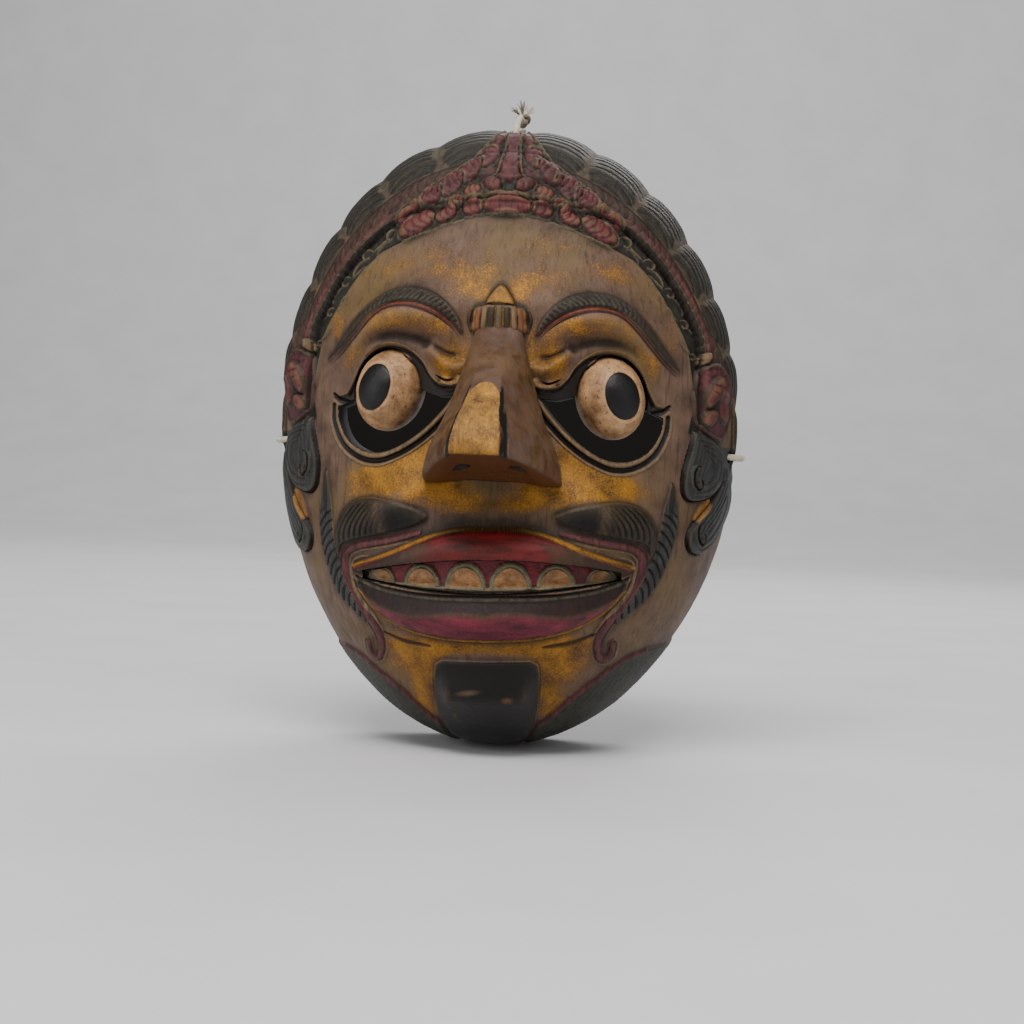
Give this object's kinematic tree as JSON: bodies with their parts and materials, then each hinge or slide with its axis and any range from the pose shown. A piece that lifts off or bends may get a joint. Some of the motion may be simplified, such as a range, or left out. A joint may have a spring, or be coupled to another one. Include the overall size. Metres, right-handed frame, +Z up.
{
  "type": "carved dance mask",
  "caption": "Carved and painted wooden dance mask of a wide-eyed comic character, hollow behind, with eye slots, a wedge nose, a tooth row, a hanging cord and a head strap.",
  "frame": {"origin": "hanging point, on the flat back plane at the top edge of the rim", "axes": "+Z up, -Y out of the face, +X to the viewer's right as they face the mask"},
  "size_m": [0.1502, 0.095, 0.2067],
  "materials": {
    "painted_wood": "hand painted, worn to the gold ground, satin",
    "nose_paint": "hand painted, worn, satin",
    "eye_paint": "cream paint with a black pupil, satin",
    "tooth_paint": "gold paint, worn, satin",
    "bare_wood": "bare, matte",
    "cotton_cord": "twisted cotton, matte",
    "brown_twine": "frayed twine, matte"
  },
  "bodies": {
    "root": {"mask_shell": "painted_wood", "nose": "nose_paint", "eyeball_left": "eye_paint", "eyeball_right": "eye_paint", "tooth_row": "tooth_paint", "eye_peg_left": "bare_wood", "eye_peg_right": "bare_wood", "nose_peg_upper": "bare_wood", "nose_peg_lower": "bare_wood", "hanging_cord": "cotton_cord", "rim_tie_left": "cotton_cord", "rim_tie_right": "cotton_cord", "strap_knot_left": "cotton_cord", "strap_knot_right": "cotton_cord", "head_strap": "cotton_cord", "hanging_knot": "brown_twine", "frayed_end_1": "brown_twine", "frayed_end_2": "brown_twine", "frayed_end_3": "brown_twine"}
  },
  "joints": []
}
